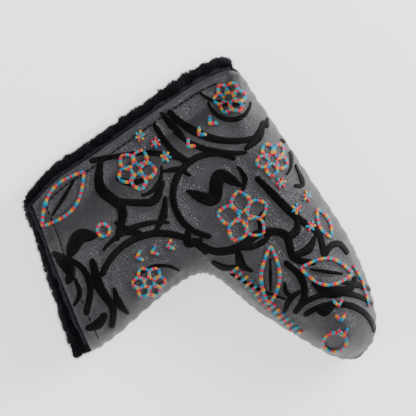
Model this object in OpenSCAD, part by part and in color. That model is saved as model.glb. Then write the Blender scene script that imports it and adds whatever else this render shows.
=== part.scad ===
// Padded blade-putter head cover, lying on its back panel.
// The sole runs along X with the toe at -X, the neck rises along +Y and the front panel faces +Z.

/* [Outline] */
// Length of the sole from the heel corner to the toe tip
sole_length = 161.5; // [150:0.5:175]
// Height of the neck from the sole to the mouth's inner corner
neck_height = 137; // [125:0.5:150]
// How far the back leaf's plush rim stands out past the front lip along the heel
heel_rim = 5; // [2:0.5:7]
// How far the back leaf's plush rim stands out past the front lip at the mouth
mouth_rim = 6; // [2:0.5:9]

/* [Fullness] */
// Height of the side seam above the surface that the cover lies on
seam_height = 14; // [12:0.5:17]
// Rise of the front panel over the side seam along the blade
blade_rise = 30; // [26:0.5:32]
// Rise of the front panel over the side seam along the neck
neck_rise = 23; // [20:0.5:26]
// Rounding radius of the front panel at its seamed edge
edge_round = 24; // [20:1:28]
// Width of the flat lip along the open heel edge, where the closure tape lies
lip_width = 13.5; // [13:0.5:15]

/* [Layers] */
// Thickness of the outer leather-look shell
shell_t = 1.2; // [0.8:0.1:1.6]
// Thickness of the foam padding
foam_t = 2.3; // [1.5:0.1:3.5]
// Thickness of the plush lining with its pile pressed down
lining_t = 3.5; // [2.5:0.1:4.5]

/* [Closure] */
// Length of each closure tape
tape_length = 62; // [50:1:66]
// Width of each closure tape
tape_width = 11; // [9:0.5:11.5]
// Thickness of each closure tape
tape_t = 1.4; // [1:0.1:1.6]

/* [Thread] */
// Height of the embroidery over the shell
embroidery_t = 0.7; // [0.5:0.1:1]
// Width of a coloured embroidered line
line_w = 2; // [1.6:0.1:2.6]
// Width of a black embroidered outline
outline_w = 3.4; // [2.6:0.1:4]
// Diameter of the sewing thread
thread_d = 0.6; // [0.5:0.1:0.9]
// Pitch of the stitches
stitch_pitch = 3.2; // [2.8:0.1:4]

/* [Hidden] */

wall_t = shell_t + foam_t + lining_t;
lip_rise = wall_t + tape_t + 0.2;        // height of a lip's outer face over the side seam
leaf_gap = 0.35;                         // clearance between the moving leaf and the fixed pocket
back_round = 15;                         // rounding radius of the back panel at its seamed edge
back_fill = 1.16;                        // the back panel's bulge before it is pressed flat, over seam_height
lip_slope = 20;                          // width of the slope between a flat lip and the full height
stitch_gap = 0.32;                       // share of the pitch that is left free between stitches
thread_depth = 0.15;                     // how far a stitch sinks into what it lies on
stroke_depth = 0.2;                      // how far embroidery sinks into the shell
stroke_step = 4.5;                       // longest straight piece of an embroidered line
star_w = 1.6;                            // width of the thin coloured lines
star_r = 2.8;                            // half length of a star's rays and a ladder's bars
band_w = 6;                              // width of a broad wave
topstitch_inset = 5;                     // from the panel's edge to its topstitch
fold_reach = 66;                         // how far the mouth's topstitch runs from the heel edge
seam_inset = 0.3;                        // depth of the side seam's thread in the seam
toe_span = 4.5;                          // distance from the toe tip to the second rib
rib_span = 10.5;                         // distance between the next ribs
mouth_span = 12;                         // distance between the last ribs

leather = "#4b4a50";
black_thread = "#17171a";
colour_thread = "#1da7aa";
plush = "#14151b";
padding = "#8d8d90";
tape = "#0f0f11";

// Ribs across the panels from the toe to the mouth, as fractions of sole_length and neck_height:
// [end on the sole and the heel side, end on the topline and the neck's inner side].
RIBS = [
    [[-1.000, 0.157], [-0.999, 0.179]],
    [[-0.972, 0.084], [-0.969, 0.230]],
    [[-0.904, 0.029], [-0.910, 0.277]],
    [[-0.793, -0.007], [-0.817, 0.336]],
    [[-0.650, -0.026], [-0.712, 0.398]],
    [[-0.483, -0.018], [-0.625, 0.434]],
    [[-0.310, -0.007], [-0.563, 0.460]],
    [[-0.136, 0.006], [-0.526, 0.490]],
    [[-0.025, 0.022], [-0.511, 0.518]],
    [[0.004, 0.124], [-0.505, 0.560]],
    [[0.002, 0.277], [-0.507, 0.625]],
    [[-0.009, 0.453], [-0.517, 0.715]],
    [[-0.022, 0.628], [-0.533, 0.810]],
    [[-0.031, 0.790], [-0.548, 0.905]],
    [[-0.059, 0.911], [-0.551, 1.000]]
];
last_rib = len(RIBS) - 1;
corner_rib = 8;                          // the rib at the heel corner, where the opening starts
leaf_rib = 8.5;                          // where the leaf's edge leaves the fixed pocket
leaf_step = 0.04;                        // clearance there, in ribs
corner_ease = 0.4;                       // how long the seam takes to open before the corner, in ribs
mesh_ribs = concat(
    [for (i = [0:15]) i / 2],
    [7.8, 8.05, 8.2, 8.35],
    [for (i = [0:17]) mix(leaf_rib, last_rib, i / 17)]
);
first_leaf = 20;                         // index of leaf_rib in mesh_ribs
// Mesh columns on the opening's side of the fold, in mm from the open edge: closest on the lip's slope
LIP_COLUMNS = [0, 4, 10, 14.5, 18.5, 22.5, 26.5, 30.5, 35.5];
lip_reach = 42;                          // distance to the fold below which those columns draw together

// The fold runs from the heel corner of the sole to the inner corner of the mouth
fold_a = [-0.043 * sole_length, 0.025 * neck_height];
fold_b = [-0.490 * sole_length, 0.990 * neck_height];
fold_dir = (fold_b - fold_a) / norm(fold_b - fold_a);
to_leaf = [fold_dir.y, -fold_dir.x];

// The frame's origin, under the middle of the whole cover.
centre = [-0.4821 * sole_length, 0.5166 * neck_height];

function ramp(a, b, x) = let (f = min(1, max(0, (x - a) / (b - a)))) f * f * (3 - 2 * f);
function mix(a, b, f) = a + (b - a) * f;
function round_edge(d, r) = sqrt(max(0, 1 - pow(1 - min(1, max(0, d) / r), 2)));
function spline(p, q, r, s, f) =
    0.5 * (2 * q + (r - p) * f + (2 * p - 5 * q + 4 * r - s) * f * f + (3 * q - p - 3 * r + s) * f * f * f);
function key(i, side) =
    let (k = RIBS[min(last_rib, max(0, i))][side]) [k.x * sole_length, k.y * neck_height];
function seam_end(u, side) =
    let (i = min(last_rib - 1, floor(u)))
    spline(key(i - 1, side), key(i, side), key(i + 1, side), key(i + 2, side), u - i);

// 0 along the seamed edge, 1 along the open heel edge
function opened(u) = ramp(corner_rib - corner_ease, leaf_rib - 0.1, u);
// Each end of a rib, with the back panel's reach past the front one
function rib_end(u, side, back) =
    let (m = ramp(last_rib - 1.2, last_rib, u))
    seam_end(u, side) + (back ? (side == 0 ? [heel_rim * opened(u) * (1 - 0.4 * m), 0.3 * mouth_rim * m]
                                           : [0.3 * mouth_rim * m, 1.35 * mouth_rim * m]) : [0, 0]);
function toe_gap(u) = norm(seam_end(u, 0) + seam_end(u, 1) - seam_end(0, 0) - seam_end(0, 1)) / 2;
// The rib that lies e inside the toe tip
function first_rib(e) = e < toe_span ? pow(e / toe_span, 0.75) : 1 + (e - toe_span) / rib_span;
// Distance along rib u from its heel end to a line that lies gap to the leaf's side of the fold
function to_fold(u, back, gap) =
    let (a = rib_end(u, 0, back), b = rib_end(u, 1, back), along = (b - a) / norm(b - a))
    ((fold_a - a) * to_leaf + gap) / (along * to_leaf);

// A point of a panel: e inside its outer face, at rib u, s along the rib from its heel end
function panel_point(back, e, u, s) =
    let (
        a = rib_end(u, 0, back),
        b = rib_end(u, 1, back),
        o = opened(u),
        start = e * (1 - o),
        end = norm(b - a) - e,
        r = (back ? back_round : edge_round) - e,
        rise = (back ? back_fill * seam_height : mix(blade_rise, neck_rise, ramp(5, 9.5, u))) - e,
        lip = (lip_rise - e) / rise,
        from_heel = mix(round_edge(s - start, r), mix(lip, 1, ramp(lip_width, lip_width + lip_slope, s)), o),
        h = rise * from_heel * round_edge(end - s, r) * round_edge(toe_gap(u) - e, r),
        p = a + (b - a) / norm(b - a) * s
    )
    [p.x, p.y, seam_height + (back ? -min(seam_height - e, h) : h)];

// Mesh columns on the opening's side of the fold, and across the whole panel
function fold_cols(back) = back ? 6 : len(LIP_COLUMNS);
function all_cols(back) = back ? 14 : 17;
// Where mesh column j crosses rib u
function column(back, e, u, j, gap) =
    let (
        a = rib_end(u, 0, back),
        b = rib_end(u, 1, back),
        start = e * (1 - opened(u)),
        end = norm(b - a) - e,
        near = to_fold(max(u, leaf_rib), back, gap),
        share = near / norm(rib_end(max(u, leaf_rib), 1, back) - rib_end(max(u, leaf_rib), 0, back)),
        fold = u >= leaf_rib ? near : mix(start, end, mix(0.45, share, ramp(5, leaf_rib, u))),
        k = fold_cols(back),
        rounded = mix(start, fold, 1 - cos(90 * min(j, k) / k)),
        flat = start + LIP_COLUMNS[min(j, k - 1)] * min(1, (fold - start) / lip_reach)
    )
    j > k ? mix(fold, end, sin(90 * (j - k) / (all_cols(back) - k)))
          : j == k || back ? rounded : mix(rounded, flat, opened(u));

// One layer between the surfaces e0 and e1 inside a panel's outer face; part is "whole", "fixed" or "leaf"
module layer(back, e0, e1, part = "whole") {
    ribs = len(mesh_ribs) - 1;
    cols = all_cols(back);
    w = cols + 1;
    n = (ribs + 1) * w;
    function kept(i, j) =
        i >= 0 && i < ribs && j >= 0 && j < cols
        && (part == "whole" || (part == "leaf") == (i >= first_leaf && j < fold_cols(back)));
    function rib_at(i, e) =
        i < first_leaf ? mix(first_rib(e), leaf_rib, mesh_ribs[i] / leaf_rib)
                       : mesh_ribs[i] + (part == "leaf" && i == first_leaf ? leaf_step : 0);
    function grid(e) = [
        for (i = [0:ribs]) for (j = [0:cols])
            let (u = rib_at(i, e))
            panel_point(back, e, u, column(back, e, u, j, part == "leaf" ? leaf_gap : 0))
    ];
    function at(i, j, inner) = i * w + j + (inner ? n : 0);
    function quad(a, b, c, d) = back ? [[c, b, a], [d, c, a]] : [[a, b, c], [a, c, d]];
    function cell(i, j) = concat(
        quad(at(i, j, false), at(i, j + 1, false), at(i + 1, j + 1, false), at(i + 1, j, false)),
        quad(at(i, j, true), at(i + 1, j, true), at(i + 1, j + 1, true), at(i, j + 1, true)),
        kept(i, j - 1) ? []
            : quad(at(i, j, false), at(i + 1, j, false), at(i + 1, j, true), at(i, j, true)),
        kept(i, j + 1) ? []
            : quad(at(i + 1, j + 1, false), at(i, j + 1, false), at(i, j + 1, true), at(i + 1, j + 1, true)),
        kept(i - 1, j) ? []
            : quad(at(i, j + 1, false), at(i, j, false), at(i, j, true), at(i, j + 1, true)),
        kept(i + 1, j) ? []
            : quad(at(i + 1, j, false), at(i + 1, j + 1, false), at(i + 1, j + 1, true), at(i + 1, j, true))
    );
    faces = [for (i = [0:ribs - 1]) for (j = [0:cols - 1]) if (kept(i, j)) each cell(i, j)];
    polyhedron(points = concat(grid(e0), grid(e1)), faces = faces, convexity = 6);
}

// The rib that passes through point p of the front panel
function rib_of(p, lo = 0, hi = last_rib, n = 13) =
    let (
        m = (lo + hi) / 2,
        a = seam_end(m, 0),
        d = seam_end(m, 1) - a,
        side = d.x * (p.y - a.y) - d.y * (p.x - a.x)
    )
    n == 0 ? m : side < 0 ? rib_of(p, m, hi, n - 1) : rib_of(p, lo, m, n - 1);
// The front panel's outer face over point p
function on_front(p) = let (u = rib_of(p)) panel_point(false, 0, u, norm(p - seam_end(u, 0)));
// The direction square to the front panel at point p
function front_normal(p) =
    let (
        across = on_front(p + [0.5, 0]) - on_front(p - [0.5, 0]),
        up = on_front(p + [0, 0.5]) - on_front(p - [0, 0.5]),
        d = cross(across, up)
    )
    d / norm(d);

// Points p of a motif are in mm from the heel corner of the default size.
function spot(p) = [p.x * sole_length / 161.5, p.y * neck_height / 137];
function leafward(p) = (p - fold_a) * to_leaf;
// Whether point p lies on the leaf, or on the fixed pocket, at least gap from the cut between them
function on_leaf(p, gap) = leafward(p) > gap && rib_of(p) > leaf_rib + gap / rib_span;
function on_pocket(p, gap) = leafward(p) < -gap || rib_of(p) < leaf_rib - gap / rib_span;
// Distance along its rib from point p to the nearer edge of the panel
function edge_gap(p) = let (u = rib_of(p)) min(norm(p - seam_end(u, 0)), norm(p - seam_end(u, 1)));
// Points at every step mm or less along the polyline
function spaced(pts, step) = concat(
    [for (i = [0:len(pts) - 2])
        let (n = ceil(norm(pts[i + 1] - pts[i]) / step)) for (k = [0:n - 1]) mix(pts[i], pts[i + 1], k / n)],
    [pts[len(pts) - 1]]
);
// A curve through a motif's corners
function curve(pts, n = 3) =
    let (m = len(pts) - 1) concat(
        [for (i = [0:m - 1]) for (k = [0:n - 1])
            spline(pts[max(0, i - 1)], pts[i], pts[i + 1], pts[min(m, i + 2)], k / n)],
        [pts[m]]
    );
function arc(c, r, from, to) =
    let (n = ceil(abs(to - from) * PI / 180 * r / stroke_step))
    [for (i = [0:n]) let (a = mix(from, to, i / n)) c + r * [cos(a), sin(a)]];
// One side of a petal: -1 or 1
function petal(base, tip, w, side, n = 5) =
    let (d = tip - base, out = [d.y, -d.x] / norm(d))
    [for (i = [0:n]) base + d * i / n + out * side * w / 2 * sin(180 * i / n)];

// First index after i where the row of flags ends
function run_end(flags, i) = i < len(flags) && flags[i] ? run_end(flags, i + 1) : i;

// A raised ribbon of embroidery along a path on the front panel
module ribbon(pts, w) {
    m = len(pts) - 1;
    function corners(i) =
        let (
            d = pts[min(m, i + 1)] - pts[max(0, i - 1)],
            out = w / 2 * [d.y, -d.x] / norm(d),
            n = front_normal(pts[i]),
            a = on_front(pts[i] - out),
            b = on_front(pts[i] + out)
        )
        [a + embroidery_t * n, b + embroidery_t * n, b - stroke_depth * n, a - stroke_depth * n];
    sides = [
        for (i = [0:m - 1]) for (k = [0:3])
            let (a = 4 * i + k, b = 4 * i + (k + 1) % 4) each [[a, b + 4, b], [a, a + 4, b + 4]]
    ];
    ends = [[0, 1, 2], [0, 2, 3], [4 * m + 2, 4 * m + 1, 4 * m], [4 * m + 3, 4 * m + 2, 4 * m]];
    polyhedron(points = [for (i = [0:m]) each corners(i)], faces = concat(sides, ends), convexity = 4);
}

// Embroidered strokes on the front panel: those on the leaf, or those on the fixed pocket
module strokes(paths, w, leaf) {
    gap = w / 2 + 1;
    for (path = paths) {
        pts = spaced([for (p = path) spot(p)], stroke_step);
        flags = [
            for (p = pts) edge_gap(p) > gap + 1 && (leaf ? on_leaf(p, gap) : on_pocket(p, gap))
        ];
        for (i = [0:len(pts) - 2]) {
            last = run_end(flags, i) - 1;
            if (flags[i] && (i == 0 || !flags[i - 1]) && last > i)
                ribbon([for (k = [i:last]) pts[k]], w);
        }
    }
}

// Rows of chevrons: [first point, step to the next, direction of the points, chevrons]
chevron_r = 4;                           // reach of a chevron's arms
CHEVRONS = [
    [[-19, 28], [-2, 7.5], 105, 3],
    [[-128, 19], [-7, 2.5], 160, 3],
    [[-60, 77], [1.5, 8], 80, 3]
];
chevron_turn = 140;                      // from the way a chevron points to each of its arms
function chevron_arm(h, side) =
    let (a = h[2] + side * chevron_turn) chevron_r * [cos(a), sin(a)];
CHEVRON_LINES = [
    for (h = CHEVRONS) for (i = [0:h[3] - 1])
        let (p = h[0] + i * h[1]) [p + chevron_arm(h, 1), p, p + chevron_arm(h, -1)]
];
RINGS = [[[-144, 29.5], 5.5], [[-37, 100], 3]];
// Flowers: [centre, petal length, petal width, petals, turn]
FLOWERS = [
    [[-13, 13], 8, 5, 6, 10], [[-71, 94], 8.5, 5.6, 6, 0], [[-20, 71], 10, 7, 5, 20],
    [[-66, 37], 13, 9, 5, 54], [[-49, 10.5], 8.5, 5.5, 5, 0]
];
flower_eye = 1.8;                        // radius of the open middle of a flower
FLOWER_PETALS = [
    for (f = FLOWERS) for (k = [1:f[3]])
        let (a = f[4] + 360 * k / f[3], d = [cos(a), sin(a)]) [f[0] + flower_eye * d, f[0] + f[1] * d, f[2]]
];
// Petals: [base, tip, width]
PETALS = [
    [[-8, 94], [-21, 126], 14], [[-85, 33], [-111, 48], 9],
    [[-82, 4], [-98, 5], 6], [[-102, 26], [-119, 5], 13]
];
COLOUR_LINES = concat(
    CHEVRON_LINES,
    [for (r = RINGS) arc(r[0], r[1], 0, 400)],
    [for (q = PETALS) for (side = [-1, 1]) petal(q[0], q[1], q[2], side)],
    [for (q = FLOWER_PETALS) for (side = [-1, 1]) petal(q[0], q[1], q[2], side, 3)]
);
STARS = [[-7, 61], [-14, 56], [-22, 55], [-61, 13], [-76, 13], [-74, 5], [-87, 11]];
STAR_LINES = [
    for (c = STARS) for (a = [20, 80, 140])
        let (ray = star_r * [cos(a), sin(a)]) [c - ray, c + ray]
];
// A ladder of short bars beside the topline
ladder_start = [-87, 54];
ladder_end = [-132, 43];
ladder_n = 9;
LADDER = [
    for (i = [0:ladder_n])
        let (p = mix(ladder_start, ladder_end, i / ladder_n), d = ladder_end - ladder_start)
        [p + star_r * [-d.y, d.x] / norm(d), p - star_r * [-d.y, d.x] / norm(d)]
];
OUTLINES = [
    arc([4, 2], 41, 100, 170),
    arc([4, 2], 47, 112, 158),
    arc([-50, 44], 20.5, -60, 145),
    arc([-79, 92], 30.5, -80, 42),
    arc([-79, 92], 36, -38, 18),
    arc([-146, 31], 22.5, 255, 372),
    arc([-146, 31], 28, 288, 370),
    curve([[-52, 22], [-64, 19], [-79, 15], [-92, 9.5], [-104, 13]]),
    curve([[-6, 83], [-19, 91], [-33, 87], [-45, 97]]),
    curve([[-5, 89], [-9, 78], [-16, 62], [-27, 47]]),
    curve([[-31, 62], [-37, 71], [-33, 80], [-28, 87]]),
    curve([[-34, 128], [-46, 119], [-58, 120], [-69, 129]]),
    curve([[-46, 112], [-60, 116], [-73, 116], [-82, 122]]),
    curve([[-63, 65], [-74, 58], [-78, 46], [-77, 34], [-84, 24], [-96, 26], [-104, 18]]),
    curve([[-95, 31], [-106, 28], [-115, 31], [-121, 40]]),
    curve([[-110, 23], [-119, 20], [-124, 10], [-121, 4]])
];
// Broad waves
BANDS = [curve([[-53, 30], [-43, 37], [-51, 46], [-41, 55]]), curve([[-40, 122], [-34, 112], [-38, 104]])];

// Point at distance s along the polyline
function travel(pts, s, i = 0) =
    let (d = norm(pts[i + 1] - pts[i]))
    s <= d || i == len(pts) - 2 ? mix(pts[i], pts[i + 1], s / d) : travel(pts, s - d, i + 1);
function path_length(pts, i = 0) =
    i >= len(pts) - 1 ? 0 : norm(pts[i + 1] - pts[i]) + path_length(pts, i + 1);

// A row of stitches along the polyline
module stitches(pts) {
    n = floor(path_length(pts) / stitch_pitch);
    for (i = [0:n - 1]) {
        a = travel(pts, (i + stitch_gap / 2) * stitch_pitch);
        b = travel(pts, (i + 1 - stitch_gap / 2) * stitch_pitch);
        d = b - a;
        translate(a) rotate([0, acos(d.z / norm(d)), atan2(d.y, d.x)])
            cylinder(d = thread_d, h = norm(d), $fn = 24);
    }
}

// The front panel's outer face along ribs u0 to u1, inset from its heel end or from its mouth
function heel_line(u0, u1, inset, n = 24) = [
    for (i = [0:n]) panel_point(false, -thread_d / 2 + thread_depth, mix(u0, u1, i / n), inset)
];
function mouth_line(inset, s0, s1, n = 36) = [
    for (i = [0:n])
        panel_point(false, -thread_d / 2 + thread_depth, last_rib - inset / mouth_span, mix(s0, s1, i / n))
];
// The back panel's outer face along the heel, above where it lies flat
function back_line(inset, n = 24) = [
    for (i = [0:n])
        panel_point(true, -thread_d / 2 + thread_depth, mix(leaf_rib + 0.6, last_rib - 0.7, i / n), inset)
];
// The seam between the panels, from the heel corner round the toe to the mouth
function seam_line(n = 26) = [
    for (i = [0:2 * n])
        let (
            side = i < n ? 0 : 1,
            u = i < n ? mix(corner_rib - corner_ease - 0.1, 0, i / n) : mix(0, last_rib, i / n - 1),
            a = seam_end(u, side),
            b = seam_end(u, 1 - side)
        )
        [each a + seam_inset * (b - a) / max(1, norm(b - a)), seam_height]
];

tape_place = 0.42;                       // middle of the tapes as a share of the opening
tape_inset = 1.4;                        // from the lip's edge to a tape
tape_turn = 3;                           // lean of the tapes with the heel edge
tape_corner = 1.5;                       // radius of a tape's corners
tape_margin = 1.2;                       // from a tape's edge to its stitches

// Puts a closure tape on a lip's inner face, with its underside at height z
module on_lip(z) {
    m = seam_end(mix(leaf_rib, last_rib, tape_place), 0);
    translate([m.x - tape_inset, m.y, z]) rotate(tape_turn) children();
}

module tape_strip(z) {
    on_lip(z) translate([-tape_width, -tape_length / 2, 0]) {
        translate([0, tape_corner, 0]) cube([tape_width, tape_length - 2 * tape_corner, tape_t]);
        translate([tape_corner, 0, 0]) cube([tape_width - 2 * tape_corner, tape_length, tape_t]);
        for (x = [tape_corner, tape_width - tape_corner]) for (y = [tape_corner, tape_length - tape_corner])
            translate([x, y, 0]) cylinder(r = tape_corner, h = tape_t, $fn = 32);
    }
}

module tape_stitches(z) {
    x0 = tape_margin;
    x1 = tape_width - tape_margin;
    y0 = tape_margin;
    y1 = tape_length - tape_margin;
    on_lip(z) translate([-tape_width, -tape_length / 2, 0])
        stitches([[x0, y0, 0], [x1, y0, 0], [x1, y1, 0], [x0, y1, 0], [x0, y0, 0]]);
}

front_tape_z = seam_height + lip_rise - wall_t - tape_t;
back_tape_z = seam_height - lip_rise + wall_t;

module front_shell() color(leather) layer(false, 0, shell_t, "fixed");
module front_shell_leaf() color(leather) layer(false, 0, shell_t, "leaf");
module back_shell() color(leather) layer(true, 0, shell_t);
module front_foam() color(padding) layer(false, shell_t, shell_t + foam_t, "fixed");
module front_foam_leaf() color(padding) layer(false, shell_t, shell_t + foam_t, "leaf");
module back_foam() color(padding) layer(true, shell_t, shell_t + foam_t);
module front_lining() color(plush) layer(false, shell_t + foam_t, wall_t, "fixed");
module front_lining_leaf() color(plush) layer(false, shell_t + foam_t, wall_t, "leaf");
module back_lining() color(plush) layer(true, shell_t + foam_t, wall_t);
module hook_tape() color(tape) tape_strip(front_tape_z);
module loop_tape() color(tape) tape_strip(back_tape_z);
module hook_tape_thread() color(black_thread) tape_stitches(front_tape_z + thread_d / 2 - thread_depth);
module loop_tape_thread() color(black_thread)
    tape_stitches(back_tape_z + tape_t - thread_d / 2 + thread_depth);
module side_seam_thread() color(black_thread) stitches(seam_line());
module heel_topstitch() color(black_thread)
    stitches(heel_line(leaf_rib + 0.25, last_rib - 0.6, topstitch_inset));
module mouth_topstitch() color(black_thread) stitches(mouth_line(mouth_rim, topstitch_inset + 1, fold_reach));
module back_topstitch() color(black_thread) stitches(back_line(topstitch_inset));
module front_outline_embroidery() color(black_thread) {
    strokes(OUTLINES, outline_w, false);
    strokes(BANDS, band_w, false);
}
module leaf_outline_embroidery() color(black_thread) {
    strokes(OUTLINES, outline_w, true);
    strokes(BANDS, band_w, true);
}
module front_colour_embroidery() color(colour_thread) {
    strokes(COLOUR_LINES, line_w, false);
    strokes(concat(STAR_LINES, LADDER), star_w, false);
}
module leaf_colour_embroidery() color(colour_thread) {
    strokes(COLOUR_LINES, line_w, true);
    strokes(concat(STAR_LINES, LADDER), star_w, true);
}

module centred() {
    translate([-centre.x, -centre.y, 0]) children();
}

centred() front_shell();
centred() front_shell_leaf();
centred() back_shell();
centred() front_foam();
centred() front_foam_leaf();
centred() back_foam();
centred() front_lining();
centred() front_lining_leaf();
centred() back_lining();
centred() hook_tape();
centred() loop_tape();
centred() hook_tape_thread();
centred() loop_tape_thread();
centred() side_seam_thread();
centred() heel_topstitch();
centred() mouth_topstitch();
centred() back_topstitch();
centred() front_outline_embroidery();
centred() leaf_outline_embroidery();
centred() front_colour_embroidery();
centred() leaf_colour_embroidery();
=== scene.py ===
"""Looks of a padded blade-putter head cover on its back: leather-look shell, satin embroidery and plush."""

import math

import bpy
import numpy as np
from mathutils import Matrix, Vector
from mathutils.bvhtree import BVHTree
from mathutils.kdtree import KDTree


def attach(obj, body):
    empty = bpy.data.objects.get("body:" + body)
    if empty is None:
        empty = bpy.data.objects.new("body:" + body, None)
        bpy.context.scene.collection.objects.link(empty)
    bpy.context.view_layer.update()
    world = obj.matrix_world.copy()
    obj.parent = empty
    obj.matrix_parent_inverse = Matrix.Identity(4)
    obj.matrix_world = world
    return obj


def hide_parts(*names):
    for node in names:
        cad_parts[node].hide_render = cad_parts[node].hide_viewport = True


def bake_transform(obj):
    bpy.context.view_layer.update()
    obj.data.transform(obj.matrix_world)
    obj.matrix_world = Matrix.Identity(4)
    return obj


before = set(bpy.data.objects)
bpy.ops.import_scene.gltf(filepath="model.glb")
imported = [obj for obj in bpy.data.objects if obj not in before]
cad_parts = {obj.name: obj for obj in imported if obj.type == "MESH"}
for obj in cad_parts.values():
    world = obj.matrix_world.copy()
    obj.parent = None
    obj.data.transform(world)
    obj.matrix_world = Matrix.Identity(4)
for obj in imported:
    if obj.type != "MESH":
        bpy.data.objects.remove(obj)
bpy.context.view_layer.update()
MM = 0.001
rng = np.random.default_rng(7)

# ---- Shape of the panels, in mm from the heel corner, as the CAD solids have it ----

SOLE_LENGTH, NECK_HEIGHT = 161.5, 137.0
HEEL_RIM, MOUTH_RIM = 5.0, 6.0
SEAM_HEIGHT, BLADE_RISE, NECK_RISE = 14.0, 30.0, 23.0
EDGE_ROUND, BACK_ROUND, BACK_FILL = 24.0, 15.0, 1.16
LIP_WIDTH, LIP_SLOPE = 13.5, 20.0
SHELL_T, FOAM_T, LINING_T = 1.2, 2.3, 3.5
TAPE_T = 1.4
WALL_T = SHELL_T + FOAM_T + LINING_T
LIP_RISE = WALL_T + TAPE_T + 0.2
CORNER_RIB, CORNER_EASE, LEAF_RIB = 8.0, 0.4, 8.5
RIBS = np.array([
    [[-1.000, 0.157], [-0.999, 0.179]], [[-0.972, 0.084], [-0.969, 0.230]],
    [[-0.904, 0.029], [-0.910, 0.277]], [[-0.793, -0.007], [-0.817, 0.336]],
    [[-0.650, -0.026], [-0.712, 0.398]], [[-0.483, -0.018], [-0.625, 0.434]],
    [[-0.310, -0.007], [-0.563, 0.460]], [[-0.136, 0.006], [-0.526, 0.490]],
    [[-0.025, 0.022], [-0.511, 0.518]], [[0.004, 0.124], [-0.505, 0.560]],
    [[0.002, 0.277], [-0.507, 0.625]], [[-0.009, 0.453], [-0.517, 0.715]],
    [[-0.022, 0.628], [-0.533, 0.810]], [[-0.031, 0.790], [-0.548, 0.905]],
    [[-0.059, 0.911], [-0.551, 1.000]],
]) * [SOLE_LENGTH, NECK_HEIGHT]
LAST_RIB = len(RIBS) - 1
CENTRE = np.array([-0.4821 * SOLE_LENGTH, 0.5166 * NECK_HEIGHT])


def ramp(a, b, x):
    f = np.clip((x - a) / (b - a), 0, 1)
    return f * f * (3 - 2 * f)


def mix(a, b, f):
    return a + (b - a) * f


def round_edge(d, r):
    return np.sqrt(np.maximum(0, 1 - (1 - np.clip(d / r, 0, 1)) ** 2))


def spline(p, q, r, s, f):
    return 0.5 * (2 * q + (r - p) * f + (2 * p - 5 * q + 4 * r - s) * f**2 + (3 * q - p - 3 * r + s) * f**3)


def seam_end(u, side):
    i = np.clip(np.floor(u).astype(int), 0, LAST_RIB - 1)
    f = (u - i)[..., None]

    def key(k):
        return RIBS[np.clip(k, 0, LAST_RIB), side]

    return spline(key(i - 1), key(i), key(i + 1), key(i + 2), f)


def opened(u):
    return ramp(CORNER_RIB - CORNER_EASE, LEAF_RIB - 0.1, u)


def rib_end(u, side, back):
    p = seam_end(u, side)
    if back:
        m = ramp(LAST_RIB - 1.2, LAST_RIB, u)
        if side == 0:
            p = p + np.stack([HEEL_RIM * opened(u) * (1 - 0.4 * m), 0.3 * MOUTH_RIM * m], -1)
        else:
            p = p + np.stack([0.3 * MOUTH_RIM * m, 1.35 * MOUTH_RIM * m], -1)
    return p


def first_rib(e):
    return (e / 4.5) ** 0.75 if e < 4.5 else 1 + (e - 4.5) / 10.5


def span(back, e, u):
    """Where a layer's surface starts and ends along rib u."""
    length = np.linalg.norm(rib_end(u, 1, back) - rib_end(u, 0, back), axis=-1)
    return e * (1 - opened(u)), length - e


def panel_point(back, e, u, s):
    """Points of a panel in mm: e inside its outer face, at rib u, s along the rib from its heel end."""
    a, b = rib_end(u, 0, back), rib_end(u, 1, back)
    start, end = span(back, e, u)
    along = (b - a) / np.linalg.norm(b - a, axis=-1)[..., None]
    mid = (seam_end(u, 0) + seam_end(u, 1)) / 2
    tip = (RIBS[0, 0] + RIBS[0, 1]) / 2
    toe = round_edge(np.linalg.norm(mid - tip, axis=-1) - e, (BACK_ROUND if back else EDGE_ROUND) - e)
    r = (BACK_ROUND if back else EDGE_ROUND) - e
    rise = (BACK_FILL * SEAM_HEIGHT if back else mix(BLADE_RISE, NECK_RISE, ramp(5, 9.5, u))) - e
    lip = (LIP_RISE - e) / rise
    open_edge = mix(lip, 1, ramp(LIP_WIDTH, LIP_WIDTH + LIP_SLOPE, s))
    from_heel = mix(round_edge(s - start, r), open_edge, opened(u))
    h = rise * from_heel * round_edge(end - s, r) * toe
    xy = a + along * s[..., None]
    z = SEAM_HEIGHT + (-np.minimum(SEAM_HEIGHT - e, h) if back else h)
    return np.concatenate([xy, z[..., None]], -1)


def rib_grid(back, e, rows, columns):
    """u and s of a grid over a whole layer, closer together along its edges."""
    u = np.linspace(first_rib(max(0.0, e)), LAST_RIB, rows + 1)[:, None] * np.ones(columns + 1)
    t = np.linspace(0, 1, columns + 1)
    t = mix(t, (1 - np.cos(math.pi * t)) / 2, 0.75)[None, :]
    start, end = span(back, e, u)
    return u, mix(start, end, t)


# ---- Meshes ----


def to_frame(points):
    """Points in mm from the heel corner, as metres in the part's frame."""
    return (points - np.array([CENTRE[0], CENTRE[1], 0.0])) * MM


def make(name, points, faces, smooth=True, attributes=None):
    """An object from an array of points in metres and a list of faces."""
    mesh = bpy.data.meshes.new(name)
    mesh.from_pydata(points.tolist(), [], [list(map(int, f)) for f in faces])
    mesh.validate()
    for key, values in (attributes or {}).items():
        mesh.attributes.new(key, "FLOAT", "POINT").data.foreach_set("value", np.asarray(values, np.float32))
    if smooth:
        mesh.shade_smooth()
    ob = bpy.data.objects.new(name, mesh)
    bpy.context.scene.collection.objects.link(ob)
    return ob


def grid_normals(p):
    du = np.gradient(p, axis=0)
    dv = np.gradient(p, axis=1)
    n = np.cross(dv, du)
    return n / np.maximum(1e-12, np.linalg.norm(n, axis=-1))[..., None]


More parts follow.
